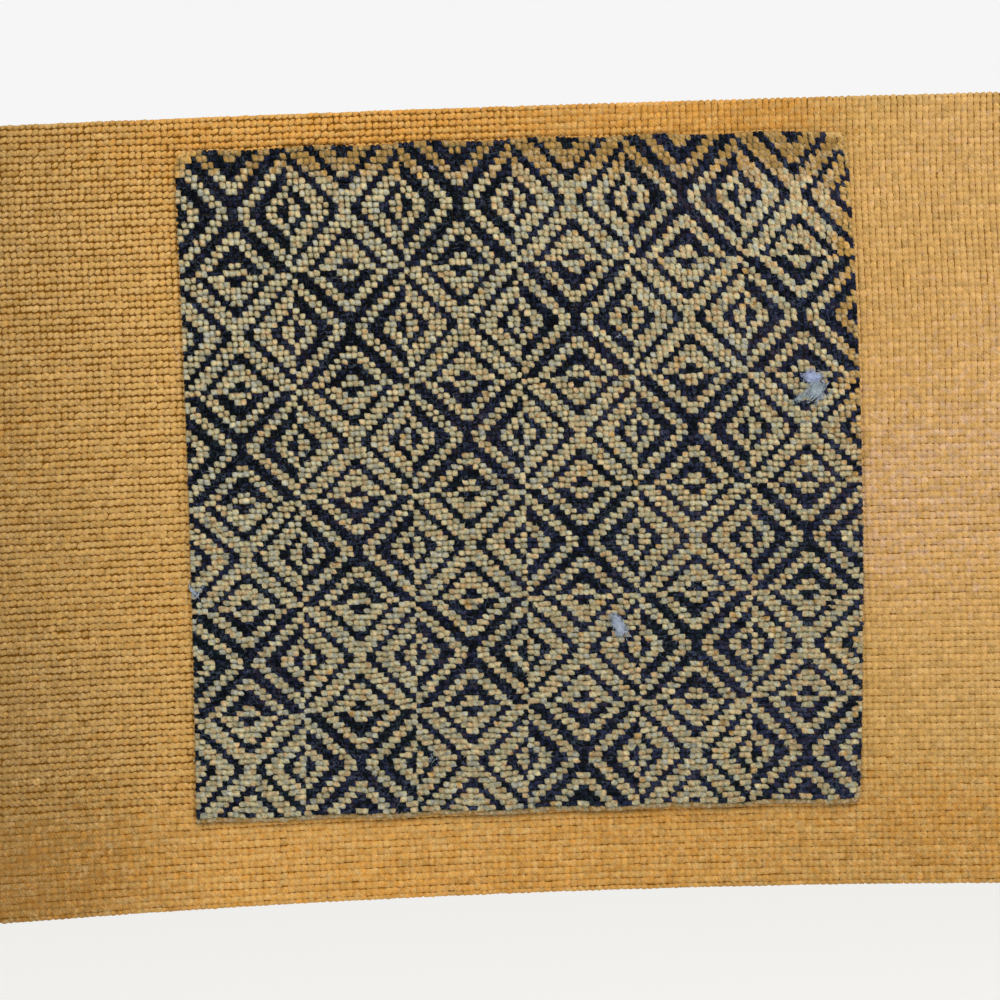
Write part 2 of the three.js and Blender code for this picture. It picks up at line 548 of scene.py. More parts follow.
# %% [markdown]
# One stitch is a short loop of yarn over a crossing of the canvas. It could be a bent tube, but
# its ends go down through the canvas and don't show. From the front it is a plump pad, rounded on
# top and sunk at its rim. So it is the upper half of a ball, with few faces because it is copied
# thousands of times. Its shoulder ring is set high or low, wide or narrow, which makes the top
# flat or round. Its diagonal points are drawn out where the stitch should look square.

# %% One stitch
BETWEEN_RINGS = 0.1


def stitch_pad(sides, squareness, shoulder, fullness):
    bm = bmesh.new()
    bmesh.ops.create_uvsphere(bm, u_segments=sides, v_segments=4, radius=1.0)
    under = [face for face in bm.faces if face.calc_center_median().z < 0]
    bmesh.ops.delete(bm, geom=under, context="FACES")
    for vert in bm.verts:
        is_diagonal = min(abs(vert.co.x), abs(vert.co.y)) > BETWEEN_RINGS
        is_shoulder = BETWEEN_RINGS < vert.co.z < 1 - BETWEEN_RINGS
        reach = squareness if is_diagonal else 1.0
        plump = fullness if is_shoulder else 1.0
        height = shoulder if is_shoulder else vert.co.z
        vert.co = (vert.co.x * reach * plump, vert.co.y * reach * plump, height)
    bmesh.ops.triangulate(bm, faces=bm.faces)
    bm.verts.ensure_lookup_table()
    bm.verts.index_update()
    points = np.array([vert.co[:] for vert in bm.verts])
    corners = np.array([[vert.index for vert in face.verts] for face in bm.faces])
    bm.free()
    return points, corners


cord_pad = stitch_pad(sides=8, squareness=0.94, shoulder=0.68, fullness=1.07)
plump_pad = stitch_pad(sides=8, squareness=1.12, shoulder=0.64, fullness=0.86)
soft_pad = stitch_pad(sides=8, squareness=1.06, shoulder=0.66, fullness=0.86)
square_pad = stitch_pad(sides=8, squareness=1.2, shoulder=0.76, fullness=0.95)
slim_pad = stitch_pad(sides=4, squareness=1.0, shoulder=0.75, fullness=1.15)
print("a plump stitch has", len(plump_pad[1]), "triangles, a slim one", len(slim_pad[1]))

# %% [markdown]
# Thousands of stitches are quickest as one joined mesh, filled from arrays. Instances of one pad
# would take less memory, but they are rigid and couldn't bend. Each stitch has its own place,
# half sizes, slant, height and tone. Every point of its pad is laid on the cloth by the function
# above, so a stitch at the edge bends round it. Each point is also nudged a little, so no two
# pads have quite the same outline. All the chance in this lesson comes from one seeded source, so
# it is the same on every run. The fibre map runs along the pad in millimetres, shifted for each
# stitch.

# %% Joining many stitches
SINK = 0.25
WOBBLE = 0.05
FIBRE_SHIFT_MM = 0.37
chance = np.random.default_rng(41)


def joined_stitches(name, piece, pad, stitches, material):
    points, corners = pad
    if piece["facing"] == BACK:
        corners = corners[:, ::-1]
    count = len(stitches["across"])
    blank = np.zeros(count)
    r = points[:, 2][None, :]
    p, q = (points[:, k][None, :] + chance.normal(0, WOBBLE, (count, len(points))) for k in range(2))
    wide, tall, slant = (stitches[key][:, None] for key in ("half_width", "half_height", "slant"))
    turn, lift = (stitches.get(key, blank)[:, None] for key in ("turn", "lift"))
    along, aside = wide * (p + slant * q), tall * q
    across = stitches["across"][:, None] + along * np.cos(turn) - aside * np.sin(turn)
    up = stitches["up"][:, None] + along * np.sin(turn) + aside * np.cos(turn)
    height = lift + stitches["height"][:, None] * r - SINK * (r < BETWEEN_RINGS)
    verts = lay(piece, across, up, height).reshape(-1, 3) * MM
    starts = np.arange(count)[:, None, None] * len(points)
    faces = (corners[None] + starts).reshape(-1)
    mesh = bpy.data.meshes.new(name)
    mesh.vertices.add(len(verts))
    mesh.vertices.foreach_set("co", verts.astype(np.float32).ravel())
    mesh.loops.add(len(faces))
    mesh.loops.foreach_set("vertex_index", faces.astype(np.int32))
    mesh.polygons.add(len(faces) // 3)
    mesh.polygons.foreach_set("loop_start", np.arange(0, len(faces), 3, dtype=np.int32))
    mesh.update(calc_edges=True)
    mesh.shade_smooth()
    for key in ("hue", "tone"):
        carried = mesh.attributes.new(key, "FLOAT", "POINT")
        carried.data.foreach_set("value", np.repeat(stitches[key], len(points)).astype(np.float32))
    # The rim, scaled by the stitch's foot number, sets how much painted shade its yarn takes towards the
    # foot.
    rim = mesh.attributes.new("rim", "FLOAT", "POINT")
    foot = stitches.get("foot", blank + 1.0)[:, None]
    rim.data.foreach_set("value", (foot * (1 - r)).ravel().astype(np.float32))
    shift = FIBRE_SHIFT_MM * np.arange(count)[:, None]
    fibre = np.stack([wide * p + shift, tall * q - shift], axis=-1).reshape(-1, 2)
    layer = mesh.uv_layers.new(name="fibre")
    layer.data.foreach_set("uv", fibre[faces].astype(np.float32).ravel())
    mesh.materials.append(material)
    made = linked(name, mesh)
    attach(made, "root")
    print(name, "has", count, "stitches and", len(faces) // 3, "triangles")
    return made


# %% [markdown]
# The square is charted by rule. A chart could be drawn stitch by stitch, but a rule is shorter
# and never miscounts. There are six blocks by six, each twenty stitches wide, and each block is a
# cross with nested chevrons round it. Counted from the block's middle, a chevron depends only on
# how much further across than up a stitch lies: three stitches of the block's own yarn, then two
# of the other, over and over. Every second block swaps its yarns. This counterchange is an old
# one in weaving and in canvas work. The two upper corners and the whole last row at the foot are
# worked in the light yarn only.

# %% Charting the diamonds
BLOCK = 20
BLOCKS = 6
CHEVRON = 5
OTHER_STEPS = (1, 2)
HEAD_CORNER = 4
STITCHES_ACROSS = BLOCK * BLOCKS


def is_dark(column, row):
    from_middle_x = np.abs(column % BLOCK - (BLOCK - 1) / 2)
    from_middle_z = np.abs(row % BLOCK - (BLOCK - 1) / 2)
    step = np.round(from_middle_x - from_middle_z).astype(int) % CHEVRON
    other_yarn = np.isin(step, OTHER_STEPS)
    dark_block = (column // BLOCK + row // BLOCK) % 2 == 0
    return dark_block != other_yarn


columns, rows = np.meshgrid(np.arange(STITCHES_ACROSS), np.arange(STITCHES_ACROSS))
columns, rows = columns.ravel(), rows.ravel()
from_side = np.minimum(columns, STITCHES_ACROSS - 1 - columns)
head_corner = from_side + rows < HEAD_CORNER
foot_row = rows == STITCHES_ACROSS - 1
dark = is_dark(columns, rows) & ~head_corner & ~foot_row
print("dark stitches:", int(dark.sum()), "straw stitches:", int((~dark).sum()))

# %% [markdown]
# Some changes in a cloth are slow: a tighter row, a faded patch, a streak from another skein. A
# noise texture could tint them, but it can't move or widen a stitch. A few cosine waves in random
# directions, added up, make a smooth field for them, mostly between minus one and one.

# %% Slow drifts
PACES = (0.6, 1.4)


def drift(x, z, length_x, length_z, waves=7):
    total = np.zeros(np.shape(x))
    for _ in range(waves):
        heading, phase = chance.uniform(0, 2 * math.pi, 2)
        pace = chance.uniform(*PACES)
        turn = x / length_x * math.cos(heading) + z / length_z * math.sin(heading)
        total = total + np.cos(2 * math.pi * pace * turn + phase)
    return total / math.sqrt(waves)


print("a drift over 1 m:", np.round(drift(np.linspace(0, 1000, 5), np.zeros(5), 300.0, 300.0), 2))

# %% [markdown]
# Other changes go by where a stitch lies. A share rises from 0 at one place to 1 at another. A
# hue, a tone or a size is then a plain amount and some more of each share. The amounts are kept
# by name, so one of them can be tried alone.

# %% Shares and amounts
def rise(value, start, end):
    return np.clip((value - start) / (end - start), 0, 1)


def weigh(amounts, shares):
    return amounts["plain"] + sum(amounts[key] * shares[key] for key in amounts if key != "plain")


print("a quarter of the way from 0 to 8:", rise(2.0, 0.0, 8.0))

# %% [markdown]
# No two stitches by hand are alike, so each one is nudged a little in place, size, slant and
# tone. Along a row the stitches of one yarn overlap and run together, most of all towards the
# foot, and only a thin line is left between rows, shaded by the relief and by the painted shade
# at each stitch's foot. At the upper right the columns run together instead. The straw yarn is
# the thicker one, so it stands higher and spreads over the dark. The rows loosen towards the head
# and sag at both sides. At the head and along the upper right edge the straw turns as ochre as
# the ground. The last row at the foot is turned under: it is given one warm hue, and its tone is
# dimmed and its foot darkened as a painted shade of the rolled edge.

# %% Places and sizes on the square
flat_half_x = square["inner_x"] + square["radius"] * math.pi / 2
flat_half_z = square["inner_z"] + square["radius"] * math.pi / 2
pitch_x = 2 * flat_half_x / STITCHES_ACROSS
pitch_z = 2 * flat_half_z / STITCHES_ACROSS
ROW_SPREAD = 0.14
ROW_SAG, SAG_LEAST_AT = 2.7, 0.15
BULGE = 0.12
CORDS_SHOW, RIBS_SHOW_ACROSS, RIBS_SHOW_UP = (0.35, -0.65), (-0.2, 0.8), (-1 / 12, 0.75)
CORD_WIDENING, RIB_NARROWING, RIB_LENGTHENING = 0.42, 0.08, 0.42
SLANT, RIB_SLANT = -0.12, -0.2
PRESSED = 0.98
# RIB_FOOT lessens the painted foot shade where the columns show.
FLATTENING, RIB_FOOT = 0.25, 0.25
PATCH_MM = 45.0
HAND = {"across": 0.08, "up": 0.07, "width": 0.1, "tall": 0.09, "slant": 0.1, "height": 0.07}


def row_place(place):
    share = place / STITCHES_ACROSS
    spread = ROW_SPREAD * share * (1 - share) ** 2
    return flat_half_z * (1 - 2 * (share + spread))


def beside_dark(step_x, step_z):
    return is_dark(columns + step_x, rows + step_z).astype(float)


def square_places(chosen, bulge):
    left, right = beside_dark(-1, 0)[chosen], beside_dark(1, 0)[chosen]
    above, below = beside_dark(0, -1)[chosen], beside_dark(0, 1)[chosen]
    x = (columns[chosen] + 0.5 + bulge / 2 * (right - left)) * pitch_x - flat_half_x
    top, bottom = row_place(rows[chosen]), row_place(rows[chosen] + 1.0)
    z = (top + bottom) / 2 + bulge / 2 * (above - below) * pitch_z
    share_x, share_z = x / flat_half_x, z / flat_half_z
    z = z - ROW_SAG * (share_x - SAG_LEAST_AT) ** 2 * (1 - share_z**2)
    wider = bulge * (left + right) * pitch_x / 2
    taller = bulge * (above + below) * pitch_z / 2
    return x, z, (top - bottom) / 2, wider, taller


def square_stitches(chosen, wide, tall, bulge, height):
    count = int(chosen.sum())
    x, z, half_row, wider, taller = square_places(chosen, bulge)
    share_x, share_z = x / flat_half_x, z / flat_half_z
    cords = rise(share_z, *CORDS_SHOW)
    ribs = rise(share_x, *RIBS_SHOW_ACROSS) * rise(share_z, *RIBS_SHOW_UP)
    half_width = pitch_x / 2 * (wide + CORD_WIDENING * cords - RIB_NARROWING * ribs) + wider
    half_height = half_row * (tall + RIB_LENGTHENING * ribs) + taller
    flattened = height * (1 - FLATTENING * np.maximum(cords, ribs))
    return {
        "across": x + chance.normal(0, HAND["across"], count) * pitch_x,
        "up": z + chance.normal(0, HAND["up"], count) * pitch_z,
        "half_width": half_width * chance.normal(1.0, HAND["width"], count),
        "half_height": half_height * chance.normal(1.0, HAND["tall"], count),
        "slant": chance.normal(SLANT, HAND["slant"], count) + RIB_SLANT * ribs,
        "height": flattened * chance.normal(PRESSED, HAND["height"], count),
        "foot": 1 - RIB_FOOT * ribs,
        "share_x": share_x,
        "share_z": share_z,
        "patch": drift(x, z, PATCH_MM, PATCH_MM),
    }


print("pitch on the square:", round(pitch_x, 3), "mm across and", round(pitch_z, 3), "mm up")

# %% Straw stitches
STRAW_WIDE, STRAW_TALL, STRAW_LOFT = 1.42, 1.34, 0.9
STRAW_HUE = {"plain": 0.36, "share_x": 0.06, "patch": 0.06}
STRAW_TONE = {"plain": 0.32, "share_z": 0.12, "share_x": -0.05}
STRAW_HUE_SPREAD, STRAW_TONE_SPREAD = 0.1, 0.13
OCHRE_ROWS, OCHRE_ROWS_LEAN, OCHRE_COLUMNS, OCHRE_EDGE_ROWS = 5.5, 2.0, 4.0, 50.0
OCHRE_FADES, EDGE_FADES = (1.2, 0.2), (1.4, 0.4)
OCHRE_HUE, OCHRE_DIMS, CORNER_BRIGHTENS = 1.4, 0.36, 0.35
LAST_ROW_HUE, LAST_ROW_SHADE_TONE, LAST_ROW_WIDENS = 0.85, 0.05, 0.2
FOOT_SHADE_CHANGE = 0.5
straw = square_stitches(~dark, STRAW_WIDE, STRAW_TALL, BULGE, STITCH_HEIGHT * STRAW_LOFT)
straw_count = len(straw["across"])
straw_hue = weigh(STRAW_HUE, straw) + chance.normal(0, STRAW_HUE_SPREAD, straw_count)
straw_tone = weigh(STRAW_TONE, straw) + chance.normal(0, STRAW_TONE_SPREAD, straw_count)
straw_rows, from_right = rows[~dark], STITCHES_ACROSS - 1 - columns[~dark]
head = rise(straw_rows / (OCHRE_ROWS + OCHRE_ROWS_LEAN * straw["share_x"]), *OCHRE_FADES)
right_edge = rise(from_right / OCHRE_COLUMNS, *OCHRE_FADES)
right_edge = right_edge * rise(straw_rows / OCHRE_EDGE_ROWS, *EDGE_FADES)
last_row = foot_row[~dark]
corner = head_corner[~dark]
ochre_share = np.maximum(np.maximum(head, right_edge), corner)
worn_hue = straw_hue + (OCHRE_HUE - straw_hue) * ochre_share
worn_tone = straw_tone - OCHRE_DIMS * head + CORNER_BRIGHTENS * corner
# The last row's low tone and stronger foot are a painted shade of the turned-under edge.
straw["hue"] = np.where(last_row, LAST_ROW_HUE, worn_hue)
straw["tone"] = np.where(last_row, LAST_ROW_SHADE_TONE, worn_tone)
straw["half_width"] = straw["half_width"] * (1 + LAST_ROW_WIDENS * last_row)
straw["foot"] = straw["foot"] + FOOT_SHADE_CHANGE * last_row - FOOT_SHADE_CHANGE * corner
print("straw stitches that turn ochre:", int((ochre_share > 0.5).sum()))

# %% Dark stitches, and both joined
DARK_SIZE, DARK_LOFT = 1.16, 0.7
DARK_HUE = {"plain": 0.46, "share_x": 0.1, "patch": 0.18}
# The dark yarn's tone rises towards the right as a painted glare, and also towards the foot.
DARK_TONE_AND_GLARE = {"plain": 0.34, "share_x": 0.32, "share_z": -0.2}
DARK_HUE_SPREAD, DARK_TONE_SPREAD = 0.14, 0.34
blue_black = square_stitches(dark, DARK_SIZE, DARK_SIZE, 0.0, STITCH_HEIGHT * DARK_LOFT)
dark_count = len(blue_black["across"])
blue_black["hue"] = weigh(DARK_HUE, blue_black) + chance.normal(0, DARK_HUE_SPREAD, dark_count)
blue_black["tone"] = weigh(DARK_TONE_AND_GLARE, blue_black) + chance.normal(0, DARK_TONE_SPREAD, dark_count)
straw_stitches = joined_stitches("straw_stitches", square, soft_pad, straw, straw_yarn)
dark_stitches = joined_stitches("dark_stitches", square, square_pad, blue_black, dark_yarn)

# %% [markdown]
# The ground is one colour, and its interest is in the rows. On its left the slanted stitches run
# together along a row like a cord, with dark holes between the rows. At the upper left they are
# narrower and stand apart like beads. Towards the right the holes close and the face is smoother,
# and at the upper right the columns show instead of the rows. Only the stitches that show are
# made, so those well under the square are left out.

# %% Places of the ground stitches
GROUND_PITCH_X, GROUND_PITCH_Z = 2.905, 3.06
HIDDEN_MARGIN = 5.0
EDGE_COVERED = 0.75
covered_edge = ground["radius"] * math.pi * EDGE_COVERED
ground_half_x = ground["inner_x"] + covered_edge
ground_half_z = ground["inner_z"] + covered_edge
ground_columns = round(2 * ground_half_x / GROUND_PITCH_X)
ground_rows = round(2 * ground_half_z / GROUND_PITCH_Z)
column, row = np.meshgrid(np.arange(ground_columns), np.arange(ground_rows))
column, row = column.ravel(), row.ravel()
across = (column + 0.5) / ground_columns * 2 * ground_half_x - ground_half_x
up = ground_half_z - (row + 0.5) / ground_rows * 2 * ground_half_z
under_x = np.abs(across - SQUARE_CENTRE_X) < SQUARE_WIDTH / 2 - HIDDEN_MARGIN
under_z = np.abs(up + GROUND_MIDDLE_Z - SQUARE_CENTRE_Z) < SQUARE_HEIGHT / 2 - HIDDEN_MARGIN
past_corner = (np.abs(across) > ground["inner_x"]) & (np.abs(up) > ground["inner_z"])
shown = ~(under_x & under_z) & ~past_corner
print(ground_rows, "ground rows,", ground_columns, "columns, stitches that show:", int(shown.sum()))

# %% Where the ground changes
SWAY_MM, STREAK_MM, FADE_MM, STRAY_MM = (60.0, 9.0), (30.0, 5.0), (120.0, 90.0), (90.0, 60.0)
EDGE_STRAYS_BY = 22.0
FOOT_SMOOTHNESS = 0.8
# The places are in millimetres across and up from the middle of the ground. Each pair is where a
# share starts and where it is whole.
RIGHT_SIDE, FAR_LEFT_SHADE = (-60.0, 160.0), (-120.0, -230.0)
COLUMNS_ACROSS, COLUMNS_UP, BEADS_UP = (-10.0, 110.0), (-10.0, 80.0), (-10.0, 110.0)
HEAD_STRIP_UP, HEAD_STRIP_ENDS, FOOT_STRIP_UP = (140.0, 165.0), (200.0, 140.0), (-110.0, -150.0)
ROSY_MIDDLE_UP, ROSY_REACH = 10.0, (110.0, 0.0)
LOW_LEFT_SHADE_ACROSS, LOW_LEFT_SHADE_UP, LOW_RIGHT_UP = (-140.0, -190.0), (-40.0, -100.0), (-30.0, -110.0)
sway = drift(across, up, *SWAY_MM)
streak = drift(across, up, *STREAK_MM)
fade = drift(across, up, *FADE_MM)
right_side = rise(across + EDGE_STRAYS_BY * drift(across, up, *STRAY_MM), *RIGHT_SIDE)
columns_show = rise(across, *COLUMNS_ACROSS) * rise(up, *COLUMNS_UP)
beads_show = rise(up, *BEADS_UP)
head_strip = rise(up, *HEAD_STRIP_UP) * rise(np.abs(across), *HEAD_STRIP_ENDS)
foot_strip = rise(up, *FOOT_STRIP_UP)
smoothness = np.maximum(right_side, FOOT_SMOOTHNESS * foot_strip)
where = {
    "streak": streak,
    "fade": fade,
    "right_side": right_side,
    "right_below_head": right_side * (1 - head_strip),
    "rosy_right": right_side * rise(np.abs(up - ROSY_MIDDLE_UP), *ROSY_REACH),
    "beaded_left": beads_show * (1 - right_side),
    # Painted shade: the ground is darkened towards its far left edge and its lower left corner.
    "far_left_shade": rise(across, *FAR_LEFT_SHADE),
    "low_left_shade": rise(across, *LOW_LEFT_SHADE_ACROSS) * rise(up, *LOW_LEFT_SHADE_UP),
    "low_right": right_side * rise(up, *LOW_RIGHT_UP),
    "head_strip": head_strip,
    "foot_strip": foot_strip,
}
print("share of the ground that is smooth:", round(float(smoothness[shown].mean()), 2))

# %% Stitches of the ground
GROUND_HUE = {
    "plain": 0.33,
    "streak": 0.04,
    "fade": 0.04,
    "right_below_head": 0.24,
    "rosy_right": 0.2,
    "head_strip": -0.26,
    "foot_strip": -0.2,
    "low_right": -0.2,
}
# The far left and lower left amounts below darken the ground as a painted shade towards its left edge and
# lower left corner.
GROUND_TONE = {
    "plain": 0.68,
    "streak": 0.04,
    "right_side": -0.17,
    "far_left_shade": -0.5,
    "head_strip": -0.06,
    "beaded_left": 0.1,
    "low_left_shade": -0.12,
    "low_right": -0.06,
    "foot_strip": -0.08,
}
GROUND_WIDE = {"plain": 1.66, "smooth": -0.24, "ribs": -0.23, "beads": -0.26}
GROUND_TALL = {"plain": 1.2, "smooth": 0.06, "ribs": 0.32, "beads": -0.02}
GROUND_LOFT = {"plain": 0.85, "smooth": -0.2}
GROUND_UNEVEN = {"plain": 1.0, "smooth": -0.55}
GROUND_LEAN = {"plain": 1.0, "smooth": -0.8}
# GROUND_FOOT sets the painted shade at the foot of each ground stitch; the smooth part takes less.
GROUND_FOOT = {"plain": 1.0, "smooth": -0.45}
GROUND_SLANT, GROUND_SLANT_SPREAD = 0.28, 0.1
STRAYS_ACROSS, STRAYS_UP, SWAY_BY = 0.06, 0.04, 0.12
SIZE_SPREAD, LOFT_SPREAD, HUE_SPREAD, TONE_SPREAD = 0.08, 0.07, 0.02, 0.06
GROUND_PRESSED = 0.97
LEVEL_FROM = 0.45
ground_hue, ground_tone = weigh(GROUND_HUE, where), weigh(GROUND_TONE, where)


def ground_stitches(chosen):
    count = int(chosen.sum())
    smooth = smoothness[chosen]
    local = {"smooth": smooth, "ribs": columns_show[chosen], "beads": beads_show[chosen] * (1 - smooth)}
    uneven = weigh(GROUND_UNEVEN, local)
    half_width = GROUND_PITCH_X / 2 * weigh(GROUND_WIDE, local)
    half_height = GROUND_PITCH_Z / 2 * weigh(GROUND_TALL, local)
    loft = STITCH_HEIGHT * weigh(GROUND_LOFT, local)
    lean = weigh(GROUND_LEAN, local)
    swayed = up[chosen] + SWAY_BY * sway[chosen]
    return {
        "across": across[chosen] + uneven * chance.normal(0, STRAYS_ACROSS, count) * GROUND_PITCH_X,
        "up": swayed + chance.normal(0, STRAYS_UP, count) * GROUND_PITCH_Z,
        "half_width": half_width * (1 + uneven * chance.normal(0, SIZE_SPREAD, count)),
        "half_height": half_height * (1 + uneven * chance.normal(0, SIZE_SPREAD, count)),
        "slant": chance.normal(GROUND_SLANT, GROUND_SLANT_SPREAD, count) * lean,
        "height": loft * (GROUND_PRESSED + uneven * chance.normal(0, LOFT_SPREAD, count)),
        "hue": ground_hue[chosen] + chance.normal(0, HUE_SPREAD, count),
        "tone": ground_tone[chosen] + chance.normal(0, TONE_SPREAD, count),
        "foot": weigh(GROUND_FOOT, local),
    }


corded = shown & (smoothness < LEVEL_FROM)
level = shown & (smoothness >= LEVEL_FROM)
ground_cords = joined_stitches(
    "ground_cord_stitches", ground, cord_pad, ground_stitches(corded), ochre_yarn
)
ground_level = joined_stitches(
    "ground_level_stitches", ground, plump_pad, ground_stitches(level), ochre_yarn
)

# %% [markdown]
# Behind, the same yarn runs in longer bars, two stitches to a bar and set like bricks, because
# each thread travels there from one stitch to the next. The hem covers the edge, and small
# overcast stitches hold it down. They are guesses in the plainest way of working, since a hanging
# is rarely seen from behind.

# %% The back of the ground
BAR_PITCH_X, BAR_PITCH_Z = 2 * GROUND_PITCH_X, GROUND_PITCH_Z
BAR_HEIGHT = 0.55
BAR_WIDE, BAR_TALL, BAR_SLANT = 1.12, 1.15, -0.2
BAR_STRAYS_X, BAR_STRAYS_Z = 0.15, 0.1
BAR_SIZE_SPREAD, BAR_SLANT_SPREAD, BAR_LOFT_SPREAD = 0.06, 0.05, 0.1
BAR_HUE, BAR_TONE, BAR_TONE_SPREAD = 0.4, 0.4, 0.1
behind = cloth(
    GROUND_WIDTH, GROUND_HEIGHT, ground_face + CANVAS_THICKNESS, ground_radius, 0.0, warp_ground, BACK
)
bar_half_x = ground["inner_x"] - HEM_WIDTH
bar_half_z = ground["inner_z"] - HEM_WIDTH
bar_columns, bar_rows = int(2 * bar_half_x / BAR_PITCH_X), int(2 * bar_half_z / BAR_PITCH_Z)
bar_column, bar_row = np.meshgrid(np.arange(bar_columns), np.arange(bar_rows))
bar_column, bar_row = bar_column.ravel(), bar_row.ravel()
bar_count = len(bar_row)
brick = 0.5 * (bar_row % 2) - 0.25
bar_x = (bar_column + 0.5 + brick - bar_columns / 2) * BAR_PITCH_X
bar_z = (bar_row + 0.5 - bar_rows / 2) * BAR_PITCH_Z
bars = {
    "across": bar_x + chance.normal(0, BAR_STRAYS_X, bar_count),
    "up": bar_z + chance.normal(0, BAR_STRAYS_Z, bar_count),
    "half_width": BAR_PITCH_X / 2 * chance.normal(BAR_WIDE, BAR_SIZE_SPREAD, bar_count),
    "half_height": BAR_PITCH_Z / 2 * chance.normal(BAR_TALL, BAR_SIZE_SPREAD, bar_count),
    "slant": chance.normal(BAR_SLANT, BAR_SLANT_SPREAD, bar_count),
    "height": BAR_HEIGHT * chance.normal(1, BAR_LOFT_SPREAD, bar_count),
    "hue": np.full(bar_count, BAR_HUE),
    "tone": chance.normal(BAR_TONE, BAR_TONE_SPREAD, bar_count),
}
ground_reverse = joined_stitches("ground_reverse", behind, slim_pad, bars, ochre_yarn)

# %% Overcast stitches of the hem
HEM_STITCH_SPACING = 7.0
OVERCAST_LENGTH, OVERCAST_WIDTH = (2.2, 0.2), (0.4, 0.04)
OVERCAST_TURN = (math.radians(45), 0.12)
OVERCAST_HEIGHT, OVERCAST_HUE, OVERCAST_TONE = 0.3, 0.5, (0.5, 0.1)
hem_face = cloth(GROUND_WIDTH, GROUND_HEIGHT, ground_high.y / MM, ground_radius, 0.0, warp_ground, BACK)
along_x = np.arange(-bar_half_x + HEM_STITCH_SPACING, bar_half_x, HEM_STITCH_SPACING)
along_z = np.arange(-bar_half_z + HEM_STITCH_SPACING, bar_half_z, HEM_STITCH_SPACING)
head_up, side_across = np.full(len(along_x), bar_half_z), np.full(len(along_z), bar_half_x)
hem_count = 2 * len(along_x) + 2 * len(along_z)
overcast = {
    "across": np.concatenate([along_x, along_x, -side_across, side_across]),
    "up": np.concatenate([head_up, -head_up, along_z, along_z]),
    "half_width": chance.normal(*OVERCAST_LENGTH, hem_count),
    "half_height": chance.normal(*OVERCAST_WIDTH, hem_count),
    "slant": np.zeros(hem_count),
    "turn": chance.normal(*OVERCAST_TURN, hem_count),
    "height": np.full(hem_count, OVERCAST_HEIGHT),
    "hue": np.full(hem_count, OVERCAST_HUE),
    "tone": chance.normal(*OVERCAST_TONE, hem_count),
}
hem_stitches = joined_stitches("hem_stitches", hem_face, slim_pad, overcast, ochre_yarn)

# %% [markdown]
# Wool sheds. Fine grey-blue hairs lie over the dark yarn and straw hairs stray across its edges,
# which is what blurs the pattern at arm's length. Curves could be grown for them, but hairs as
# short as these are nearly straight. So each hair is one slim pad, long and very narrow, lying at
# any angle.

# %% Loose hairs
DARK_HAIRS, STRAW_HAIRS = 4200, 2600
DARK_HAIR_REACH, STRAW_HAIR_REACH = 0.3, 0.55
DARK_HAIR_LIFT, STRAW_HAIR_LIFT, LIFT_SPREAD = 0.72, 0.78, 0.06
LOOSE_HALF_LENGTH, LOOSE_HALF_WIDTH, LOOSE_HEIGHT = (0.6, 1.7), (0.07, 0.12), 0.1
LOOSE_TONE = (0.2, 0.8)
HAIR_HUES = ("#28323E", "#3A4858", "#566476")
hair_wool = wool_yarn(
    "grey_blue_wool_hairs", HAIR_HUES, foot_shade_tone="#1A2230", rim_starts=0.6, hair_tone="#7C8AA0",
    hairiness=0.2, unevenness=0.3, speckling=0.35, gloss=0.04, sheen=0.0,
)


def loose_hairs(stitches, picked, reach, lift):
    count = len(picked)
    swing = chance.uniform(0, 2 * math.pi, count)
    return {
        "across": stitches["across"][picked] + reach * pitch_x * np.cos(swing),
        "up": stitches["up"][picked] + reach * pitch_z * np.sin(swing),
        "half_width": chance.uniform(*LOOSE_HALF_LENGTH, count),
        "half_height": chance.uniform(*LOOSE_HALF_WIDTH, count),
        "slant": np.zeros(count),
        "turn": chance.uniform(0, math.pi, count),
        "height": np.full(count, LOOSE_HEIGHT),
        "lift": lift * chance.normal(1, LIFT_SPREAD, count),
        "hue": chance.uniform(0, 1, count),
        "tone": chance.uniform(*LOOSE_TONE, count),
    }


dark_picked = chance.integers(0, dark_count, DARK_HAIRS)
straw_picked = chance.integers(0, straw_count, STRAW_HAIRS)
dark_strays = loose_hairs(blue_black, dark_picked, DARK_HAIR_REACH, STITCH_HEIGHT * DARK_HAIR_LIFT)
straw_strays = loose_hairs(straw, straw_picked, STRAW_HAIR_REACH, STITCH_HEIGHT * STRAW_HAIR_LIFT)
straw_strays["hue"] = straw["hue"][straw_picked]
dark_hairs = joined_stitches("dark_hairs", square, slim_pad, dark_strays, hair_wool)
straw_hairs = joined_stitches("straw_hairs", square, slim_pad, straw_strays, straw_yarn)

# %% [markdown]
# A few tufts of pale lint have caught on the square, and one thread on the ground. A tuft is a
# bundle of hairs that mostly lie one way. Each is given by its place on the flat square, its
# heading, its length and width, its hue from grey to blue, and how many hairs are in it.

# %% Lint
TUFTS = (
    (129.9, 40.9, 170, 7.6, 5.2, 0.9, 420),
    (131.1, 34.6, 235, 8.4, 7.4, 0.25, 460),
    (124.4, 31.8, 215, 6.4, 3.0, 0.1, 120),
    (40.8, -68.3, -62, 10.4, 5.0, 0.55, 380),
    (-150.0, -46.5, -60, 7.0, 1.2, 0.6, 40),
    (-147.5, -47.5, 60, 6.0, 1.0, 0.6, 30),
    (43.7, 62.0, 20, 2.6, 1.2, 0.6, 14),
    (-35.9, 139.8, 150, 2.6, 1.2, 0.6, 14),
    (-43.8, -125.7, 45, 6.5, 4.0, 0.4, 9),
    (-43.8, -125.7, -45, 6.5, 4.0, 0.4, 9),
)
TUFT_HALF_LENGTH, TUFT_HALF_WIDTH, TUFT_LIFT = (0.08, 0.2), (0.07, 0.14), (0.9, 1.25)
TUFT_TURN_SPREAD, TUFT_HUE_SPREAD, TUFT_TONE = 0.6, 0.1, (0.4, 1.0)


